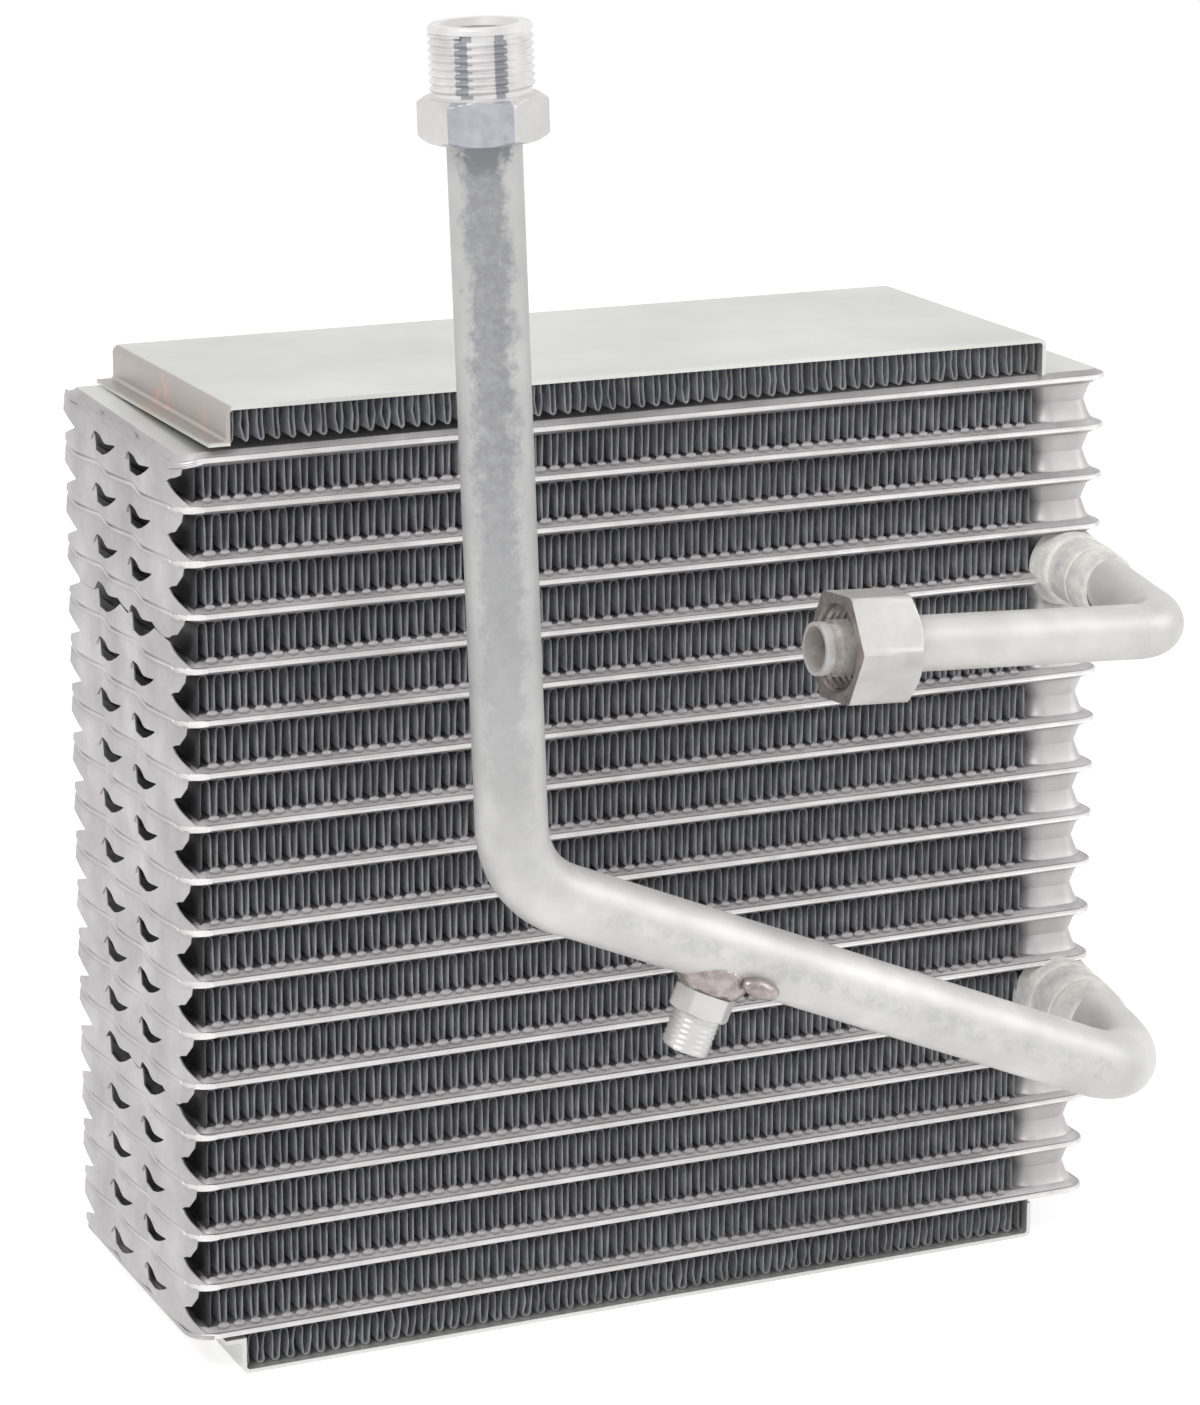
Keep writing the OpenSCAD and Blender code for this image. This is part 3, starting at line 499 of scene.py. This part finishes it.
# draws a section round a convex outline of corners (x, y, radius, first angle, turn)
def sweepSection(section, corners, steps):
    bm = bmesh.new()
    x, y, r, start, turn = corners[0]
    out = Vector((math.cos(math.radians(start)), math.sin(math.radians(start)), 0))
    verts = [bm.verts.new(Vector((x, y, h)) + (r + d) * out) for d, h in section]
    line = verts + [bm.edges.new(pair) for pair in zip(verts, verts[1:])]
    for k, (x, y, r, start, turn) in enumerate(corners):
        line = bmesh.ops.spin(bm, geom=line, cent=(x, y, 0), axis=(0, 0, 1), angle=math.radians(turn),
                              steps=steps)["geom_last"]
        end = math.radians(start + turn)
        out = Vector((math.cos(end), math.sin(end), 0))
        x2, y2, r2, start2, turn2 = corners[(k + 1) % len(corners)]
        step = Vector((x2 - x, y2 - y, 0)) + (r2 - r) * out
        edges = [g for g in line if isinstance(g, bmesh.types.BMEdge)]
        grown = bmesh.ops.extrude_edge_only(bm, edges=edges)["geom"]
        line = [g for g in grown if not isinstance(g, bmesh.types.BMFace)]
        bmesh.ops.translate(bm, verts=[g for g in line if isinstance(g, bmesh.types.BMVert)], vec=step)
    bmesh.ops.remove_doubles(bm, verts=bm.verts, dist=1e-4)
    bmesh.ops.holes_fill(bm, edges=[e for e in bm.edges if e.is_boundary], sides=0)
    bmesh.ops.recalc_face_normals(bm, faces=bm.faces)
    return bm


def addShell(target, part):
    mesh = bpy.data.meshes.new("part")
    part.to_mesh(mesh)
    part.free()
    target.from_mesh(mesh)
    bpy.data.meshes.remove(mesh)


def tubeBody(left):
    t = tubes
    x0, x1, y0, r = t["left"] + left, t["right"], t["front"], t["corner"]
    rl, rb = t["wrap"] - max(0, left), t["backCorner"]
    corners = [(x1 - r, y0 + r, r, -90, 90), (x1 - r, -y0 - r, r, 0, 90),
               (x0 + rb, -y0 - rb, rb, 90, 90), (x0 + rl, y0 + rl, rl, 180, 90)]
    bm = sweepSection(t["rim"], corners, t["cornerSteps"])
    for face in bm.faces:
        middle = face.calc_center_median()
        # painted highlight along the rim, plate sheet on an outer tube's top, and fin stock behind the
        # walls, which its painted shade makes dark there
        if abs(middle.z) < t["brightRim"] and face.calc_area() < 300 and middle.x > x0 + 5:
            face.material_index = tubeMetals.index(highlightMetal)
        if middle.z > 1.5 and left < 0:
            face.material_index = tubeMetals.index(plateSheet)
        if middle.x < x0 + 2 and left > 0:
            face.material_index = tubeMetals.index(finSheet)
    return bm


def tankCup(sign, upward):
    t = tubes
    r, wide = t["tankCorner"], t["tankR"] - t["tankCorner"]
    near, far = t["tankGap"] / 2 + r, -t["front"] - t["tankEdge"] - r
    low, high = (near, far) if sign > 0 else (-far, -near)
    x0, x1 = t["tankX"] - wide, t["tankX"] + wide
    corners = [(x1, low, r, -90, 90), (x1, high, r, 0, 90), (x0, high, r, 90, 90), (x0, low, r, 180, 90)]
    bm = sweepSection(t["cup"], corners, t["tankSteps"])
    # painted light: the cups take the paler lit sheet
    for face in bm.faces:
        face.material_index = tubeMetals.index(litSheet)
    if not upward:
        bmesh.ops.scale(bm, verts=bm.verts, vec=(1, 1, -1))
        bmesh.ops.recalc_face_normals(bm, faces=bm.faces)
    return bm


# place and outward direction on the flanged end, at a length from the front edge
def flangePath(s):
    t = tubes
    if s < arcLength:
        angle = s / t["wrap"]
        out = Vector((-math.sin(angle), -math.cos(angle), 0))
        return Vector((t["left"] + t["wrap"], t["front"] + t["wrap"], 0)) + t["wrap"] * out, out
    share = max(0, s - lobeStart) / t["lobe"] % 1 if s < pathLength - 1e-6 else 1
    if s < lobeStart:
        share = 0
    x = t["left"] - t["bulge"] * (1 - (2 * share - 1) ** 2)
    slope = 4 * t["bulge"] * (2 * share - 1) / t["lobe"] if s > lobeStart else 0
    return Vector((x, t["front"] + t["wrap"] + s - arcLength, 0)), Vector((-1, -slope, 0)).normalized()


# how far the two flanges reach, as (length along the path, height); the holes between
# the tabs lie where both step back
reachUp = [(0, 0.55), (3.4, 1.1), (8.2, 4.6), (arcLength, 6.1)]
reachDown = [(0, 0.55), (4.9, 0.9), (5.2, 2.6), (7.0, 5.0), (8.6, 5.4), (arcLength, 6.3)]
for k in (1, 2):
    tip = lobeStart + k * tubes["lobe"]
    reachUp += [(tip - 16.2, 7.4), (tip - 15.4, 7.2), (tip - 12.2, 5.5), (tip - 8.6, 4.0),
                (tip - 5, 3.0), (tip - 2.2, 2.9), (tip + 0.7, 3.0), (tip + 1.2, 6.6),
                (tip + 1.5, 7.2), (tip + 2.2, 6.9), (tip + 4, 6.3)]
    reachDown += [(tip - 22, 6.6), (tip - 17.5, 5.6), (tip - 15.4, 4.8), (tip - 11.3, 5.4),
                  (tip - 8.5, 5.7), (tip - 6.8, 5.4), (tip - 5, 4.7), (tip - 3.6, 4.4),
                  (tip + 0.5, 4.4), (tip + 1.6, 5.3)]
reachUp += [(pathLength - 10.4, 6.2), (pathLength - 9.6, 5.6), (pathLength, 2.6)]
reachDown += [(pathLength - 21, 6.9), (pathLength - 12, 6.9), (pathLength - 10.2, 6.0), (pathLength, 3.9)]
reachUp.sort()
reachDown.sort()
wanted = [s for s, h in reachUp + reachDown]
wanted += [tubes["step"] * k for k in range(int(pathLength / tubes["step"]) + 1)]
wanted += [tubes["frontStep"] * k for k in range(tubes["frontCount"])]
stations = [0]
for s in sorted(wanted):
    if s - stations[-1] > tubes["leastStep"]:
        stations.append(s)


# 0 up to a start, and 1 from a length past it
def fadeIn(s, start, length):
    return min(1, max(0, (s - start) / length))


def reachAt(points, s):
    for (s0, h0), (s1, h1) in zip(points, points[1:]):
        if s <= s1:
            return h0 + (h1 - h0) * max(0, s - s0) / (s1 - s0)
    return points[-1][1]


# height of the groove: it climbs along a lobe and drops back at each hole
def grooveHeight(s):
    t = tubes
    climb = t["lobe"] - t["drop"]
    along = climb if s > pathLength - 1 else (pathLength - s - t["drop"]) % t["lobe"]
    share = along / climb if along < climb else 1 - (along - climb) / t["drop"]
    share = share * share * (3 - 2 * share) if along >= climb else share
    return t["wander"] * (2 * share - 1) * fadeIn(s, *t["wanderFade"])


# one bent wall: a grid laid along the path, with the groove at the tube's middle
def flangeWall(up, down, shortUp=0, shortDown=0):
    t = tubes
    half = len(t["foldsUp"]) - 1 + len(t["rises"])
    rows, below = half * (up + down), half * down
    bm = bmesh.new()
    bmesh.ops.create_grid(bm, x_segments=len(stations) - 1, y_segments=rows, size=0.5)
    for face in bm.faces:
        middle = face.calc_center_median()
        row, station = (middle.y + 0.5) * rows - below, (middle.x + 0.5) * len(stations)
        # painted highlight: the paler lit sheet in the fold under the groove
        if up and t["paleFold"][0] < row < t["paleFold"][1] and station > t["foldFrom"]:
            face.material_index = tubeMetals.index(litSheet)
    for v in bm.verts:
        s = stations[round((v.co.x + 0.5) * (len(stations) - 1))]
        k = round((v.co.y + 0.5) * rows) - below
        place, out = flangePath(s)
        reach = reachAt(reachDown, s) - shortDown if k < 0 or not up else reachAt(reachUp, s) - shortUp
        reach = max(t["leastReach"], reach)
        squeeze = min(1, reach / t["foldRoom"])
        j, folds = abs(k), t["foldsDown"] if k < 0 else t["foldsUp"]
        sway = grooveHeight(s) * (1 if k >= 0 else -1)
        if j < len(folds):
            depth = folds[j][1] * t["groove"] * fadeIn(s, *t["grooveFade"])
            depth *= t["midDepth"] - t["depthLoss"] * grooveHeight(s) / t["wander"]
            height = folds[j][0] * squeeze + sway * (1 - j / len(folds))
        else:
            low = folds[-1][0] * squeeze
            rise = t["rises"][j - len(folds)]
            height = low + (reach - low) * rise
            depth = (t["lap"] if k < 0 else -t["lap"] / 2) * rise * fadeIn(s, *t["lapFade"])
        v.co = place + out * depth + Vector((0, 0, height if k >= 0 else -height))
    bm.normal_update()
    middle = min(bm.faces, key=lambda f: abs(f.calc_center_median().y))
    if middle.normal.x > 0:
        bmesh.ops.reverse_faces(bm, faces=bm.faces)
    bmesh.ops.solidify(bm, geom=bm.faces[:], thickness=t["wall"])
    bmesh.ops.recalc_face_normals(bm, faces=bm.faces)
    for face in bm.faces:
        middle = face.calc_center_median()
        # painted highlight along the groove, fading towards the back
        if abs(middle.z) < t["brightSeam"] - t["seamLoss"] * (middle.y - t["front"]):
            face.material_index = tubeMetals.index(highlightMetal)
    return bm


for i in range(1, tubes["count"] + 1):
    up, down = i > 1, i < tubes["count"]
    bm = bmesh.new()
    addShell(bm, tubeBody(tubes["setBack" if up and down else "outerSetBack"]))
    for sign in (-1, 1):
        if up:
            addShell(bm, tankCup(sign, True))
        if down:
            addShell(bm, tankCup(sign, False))
    # a seam that opened shows as a gap between two tubes' tabs
    addShell(bm, flangeWall(up, down, tubes["openSeams"].get(i - 1, 0), tubes["openSeams"].get(i, 0) * 2))
    if not up:
        for v in bm.verts:
            share = max(0, (tubes["dipFrom"] - v.co.x) / tubes["dipLength"]) ** 2
            share *= fadeIn(-v.co.y, *tubes["dipFront"])
            v.co.z -= tubes["dip"] * share * fadeIn(v.co.z, *tubes["dipHeight"])
    bmesh.ops.translate(bm, verts=bm.verts, vec=(0, 0, tubes["topZ"] - (i - 1) * tubes["pitch"]))
    bmesh.ops.scale(bm, verts=bm.verts, vec=(mm, mm, mm))
    tube = newPiece(bm, "drawn_tube_%02d" % i, tubeMetals, smooth=35)
    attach(tube, "core")
    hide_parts("tube_%02d" % i)
print("tubes made")


# spins a closed outline of (radius, height); rows at the radius of the hexagon's corner are
# pulled in to its flats, and a cone cuts its corners at the ends
def turnedPart(outline, flats=0, turn=0, hexFrom=0, hexTo=0, steps=96):
    brokenEdge = 0.15  # what is taken off the hexagon's edges
    bm = bmesh.new()
    verts = [bm.verts.new((r * math.cos(turn), r * math.sin(turn), z)) for r, z in outline]
    ring = verts + [bm.edges.new(pair) for pair in zip(verts, verts[1:] + verts[:1])]
    bmesh.ops.spin(bm, geom=ring, cent=(0, 0, 0), axis=(0, 0, 1), angle=2 * math.pi, steps=steps,
                   use_merge=True)
    corner = flats / math.sqrt(3)
    for v in bm.verts:
        r = math.hypot(v.co.x, v.co.y)
        if flats and r > corner - 0.01:
            angle = (math.atan2(v.co.y, v.co.x) - turn) % (math.pi / 3) - math.pi / 6
            end = min(v.co.z - hexFrom, hexTo - v.co.z)
            flat, cone = flats / 2 / math.cos(angle), flats / 2 + end / math.tan(math.pi / 6)
            inwards = min(flat, corner - brokenEdge, cone) / r
            v.co.x *= inwards
            v.co.y *= inwards
    bmesh.ops.recalc_face_normals(bm, faces=bm.faces)
    return bm


def hexRows(flats, low, high):
    drop = (flats / math.sqrt(3) - flats / 2) * math.tan(math.pi / 6)
    rows = [low + drop * k / 4 for k in range(5)] + [high - drop * (4 - k) / 4 for k in range(5)]
    return [(flats / math.sqrt(3), z) for z in rows]


# a ridge that climbs round an axis: a triangle spun with a rise, cut by a cone below a lip
def threadRidge(root, crest, pitch, low, high, lip=0):
    flank, turnSteps, lipGap = 0.46 * pitch, 48, 0.1
    bm = bmesh.new()
    made = bmesh.ops.create_circle(bm, cap_ends=True, radius=1, segments=3)
    place = Vector((root, 0, low))
    for v, (dr, dz) in zip(made["verts"], ((crest - root, 0), (0, -flank), (0, flank))):
        v.co = place + Vector((dr, 0, dz))
    turns = (high - low) / pitch
    steps = round(turns * turnSteps)
    bmesh.ops.spin(bm, geom=bm.faces[:] + bm.edges[:] + bm.verts[:], cent=(0, 0, 0), axis=(0, 0, 1),
                   angle=2 * math.pi * turns, steps=steps, dvec=(0, 0, (high - low) / steps))
    for v in bm.verts:
        r = math.hypot(v.co.x, v.co.y)
        if lip and v.co.z > lip - (crest - root):
            cut = min(1, (root - lipGap + max(0, lip - v.co.z)) / r)
            v.co.x *= cut
            v.co.y *= cut
    bmesh.ops.recalc_face_normals(bm, faces=bm.faces)
    return bm


fittingMetals = (turnedBar, highlightMetal, bluishGrey, scorched, whiteFlux, paintedThreadReflection, nutBar)


def placed(bm, matrix, name, node, body):
    bmesh.ops.transform(bm, matrix=Matrix.Scale(mm, 4) @ matrix, verts=bm.verts)
    piece = newPiece(bm, name, fittingMetals, smooth=35)
    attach(piece, body)
    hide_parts(node)


# an axis that starts at a place and leans from upright about Y, with a step along it
def leaning(place, lean, out=0):
    return (Matrix.Translation(place) @ Matrix.Rotation(math.radians(lean), 4, "Y")
            @ Matrix.Translation((0, 0, out)))


# suction fitting: hexagon and outside thread; the flats facing the front get a painted reflection, and the
# thread a painted highlight with dark painted reflection bands between the given angles
suction = {
    "flats": 24, "turn": 35, "hexH": 9.2, "height": 24.2, "root": 10.4, "major": 11.1, "pitch": 1.6,
    "bore": 6.7, "cone": 1.5, "socket": 6, "pipeR": 7.94, "lean": -2.2, "base": (-61.230, -85.5, 286.618),
    "reflectingFlats": (215, 275), "flatR": 11.5, "threadR": 9, "reflectionBands": ((221, 236), (263, 276)), "bandFreeTop": 1.6,
}
q = suction
outline = hexRows(q["flats"], 0, q["hexH"]) + [
    (q["root"] + 0.5, q["hexH"]), (q["root"], q["hexH"] + 0.5), (q["root"], q["height"] - 1.7),
    (q["root"] + 0.5, q["height"] - 1.5), (q["root"] + 0.5, q["height"] - 0.6),
    (q["root"] - 0.1, q["height"]), (q["bore"] + q["cone"], q["height"]),
    (q["bore"], q["height"] - q["cone"]), (q["bore"], q["socket"]), (q["pipeR"], q["socket"]),
    (q["pipeR"], 0)]
bm = turnedPart(outline, q["flats"], math.radians(q["turn"]), 0, q["hexH"])
addShell(bm, threadRidge(q["root"] - 0.05, q["major"], q["pitch"], q["hexH"] + 0.9, q["height"] - 1.9))
for face in bm.faces:
    middle = face.calc_center_median()
    angle = math.degrees(math.atan2(middle.y, middle.x)) % 360
    r = math.hypot(middle.x, middle.y)
    # painted reflection: the flats that face the front are painted bluish grey
    if 0 < middle.z < q["hexH"] and r > q["flatR"] and q["reflectingFlats"][0] < angle < q["reflectingFlats"][1]:
        face.material_index = fittingMetals.index(bluishGrey)
    # painted highlight on the thread, broken by dark painted reflection bands below a band-free top
    if middle.z > q["hexH"] + 0.5 and r > q["threadR"]:
        reflectionBands = any(low < angle < high for low, high in q["reflectionBands"]) and middle.z < q["height"] - q["bandFreeTop"]
        face.material_index = fittingMetals.index(paintedThreadReflection if reflectionBands else highlightMetal)
placed(bm, leaning(q["base"], q["lean"]), "suction_threaded_fitting", "suction_fitting", "core")

# service port: small hexagon and thread on the underside of the sloping run
port = {
    "flats": 12.7, "turn": 13, "hexH": 5.5, "hexStart": -9, "height": 14.1, "root": 5.3, "major": 5.55,
    "pitch": 1.27, "bore": 2.5, "lean": -156.9, "foot": (-4.638, -85.5, 102.957), "out": 10.14,
}
q = port
outline = hexRows(q["flats"], 0, q["hexH"]) + [
    (q["root"] + 0.3, q["hexH"]), (q["root"], q["hexH"] + 0.3), (q["root"], q["height"] - 0.7),
    (q["root"] - 0.6, q["height"]), (q["bore"] + 0.3, q["height"]), (q["bore"], q["height"] - 0.3),
    (q["bore"], 0)]
bm = turnedPart(outline, q["flats"], math.radians(q["turn"]), q["hexStart"], q["hexH"])
addShell(bm, threadRidge(q["root"] - 0.05, q["major"], q["pitch"], q["hexH"] + 0.6, q["height"] - 0.5,
                         q["height"]))
placed(bm, leaning(q["foot"], q["lean"], q["out"]), "service_port_fitting", "port_fitting", "core")

# torch-brazed fillet that flares from the pipe to the port, and braze that ran along the
# pipe's front beside it
fillet = {"half": (8.8, 8.0, 6.4), "up": 6, "run": (4.8, 2.3, 2.3), "runPlace": (-8.2, -8.0, 5.0)}
bm = bmesh.new()
for size, place in ((fillet["half"], (0, 0, fillet["up"])), (fillet["run"], fillet["runPlace"])):
    made = bmesh.ops.create_uvsphere(bm, u_segments=40, v_segments=20, radius=1)
    for v in made["verts"]:
        v.co = Vector(place) + Vector([d * c for d, c in zip(size, v.co)])
for face in bm.faces:
    face.material_index = fittingMetals.index(scorched)
placed(bm, leaning(port["foot"], port["lean"]), "port_brazed_saddle", "port_saddle", "core")

# union nut: hexagon with an inside thread, dark inside and on its mouth's end face
nut = {
    "flats": 24, "turn": 25, "endCut": 0.9, "length": 15.8, "minor": 8.8, "groove": 9.5, "pitch": 1.5875,
    "depth": 10, "hole": 6.41, "lean": 93.1, "tip": (17.134, -85.5, 169.348), "out": 5.2,
    "insideR": 11.6, "endFace": 0.05,
}
q = nut
outline = hexRows(q["flats"], 0, q["length"]) + [
    (q["hole"], q["length"]), (q["hole"], q["depth"]), (q["groove"], q["depth"]), (q["groove"], 0.9),
    (q["groove"] + 0.6, 0)]
bm = turnedPart(outline, q["flats"], math.radians(q["turn"]), -q["endCut"], q["length"])
for face in bm.faces:
    middle = face.calc_center_median()
    inside = math.hypot(middle.x, middle.y) < q["insideR"] and middle.z < q["depth"]
    face.material_index = fittingMetals.index(scorched if middle.z < q["endFace"] or inside else nutBar)
ridge = threadRidge(q["groove"] + 0.05, q["minor"], q["pitch"], 1.6, q["depth"] - 1)
for face in ridge.faces:
    face.material_index = fittingMetals.index(scorched)
addShell(bm, ridge)
placed(bm, leaning(q["tip"], q["lean"], q["out"]), "union_nut", "liquid_nut", "nut")

# collars: turned rings brazed into the front tank, with a fillet at the tank and a bead
# round the pipe
collars = {
    "suction": {"z": 60.9, "r": 9.7, "pipeR": 7.94, "bore": 6.54, "slope": 0.16, "lip": 6.5},
    "liquid": {"z": 168.9, "r": 8.2, "pipeR": 6.35, "bore": 5.15, "slope": 0.115, "lip": 5.5},
    "tankX": 108.5, "seat": 28.5, "socket": 46.5, "mouth": 52.5, "whiteFrom": 37,
    # turned ridges as (outward, distance), and the braze lip as (outward, share of its length)
    "ridges": [(0, 34), (1.5, 36.4), (0.9, 37.6), (0.5, 39.2), (0.6, 41.6), (0.3, 42.2), (-0.2, 42.6),
               (-0.3, 45.2), (-0.1, 46), (0, 47), (0, 50.6), (-0.3, 51), (-0.1, 51.6), (-0.1, 52.3)],
    "lipShape": [(-0.3, 0.6), (-0.8, 0.9)],
}
for name in ("suction", "liquid"):
    q, c = collars[name], collars
    outline = [(q["r"], c["seat"])] + [(q["r"] + d, z) for d, z in c["ridges"]]
    outline += [(q["r"] + d, c["mouth"] + q["lip"] * share) for d, share in c["lipShape"]]
    outline += [(q["pipeR"], c["mouth"] + q["lip"]), (q["pipeR"], c["socket"]), (q["bore"], c["socket"]),
                (q["bore"], c["seat"] + 1), (q["bore"] - 1, c["seat"])]
    bm = turnedPart(outline, steps=64)
    for face in bm.faces:
        white = face.calc_center_median().z >= c["whiteFrom"]
        face.material_index = fittingMetals.index(whiteFlux if white else bluishGrey)
    # past the socket the collar slopes down a little
    for v in bm.verts:
        v.co.y -= q["slope"] * max(0, v.co.z - c["socket"])
    placed(bm, Matrix.Translation((c["tankX"], 0, q["z"])) @ Matrix.Rotation(math.pi / 2, 4, "X"),
           name + "_brazed_collar", name + "_collar", "core")
print("fittings made")


# finishes of the CAD nodes, of which the end plates, the pipes and the stub stay in view
finishes = {"tube_": tubeSheet, "top_end": plateSheet, "bottom_end": plateSheet,
            "suction_pipe": drawnPipe, "liquid_pipe": drawnPipe, "port_stub": scorched}
for name, node in nodes.items():
    chosen = [m for start, m in finishes.items() if name.startswith(start)]
    node.data.materials.clear()
    node.data.materials.append(chosen[0] if chosen else turnedBar)
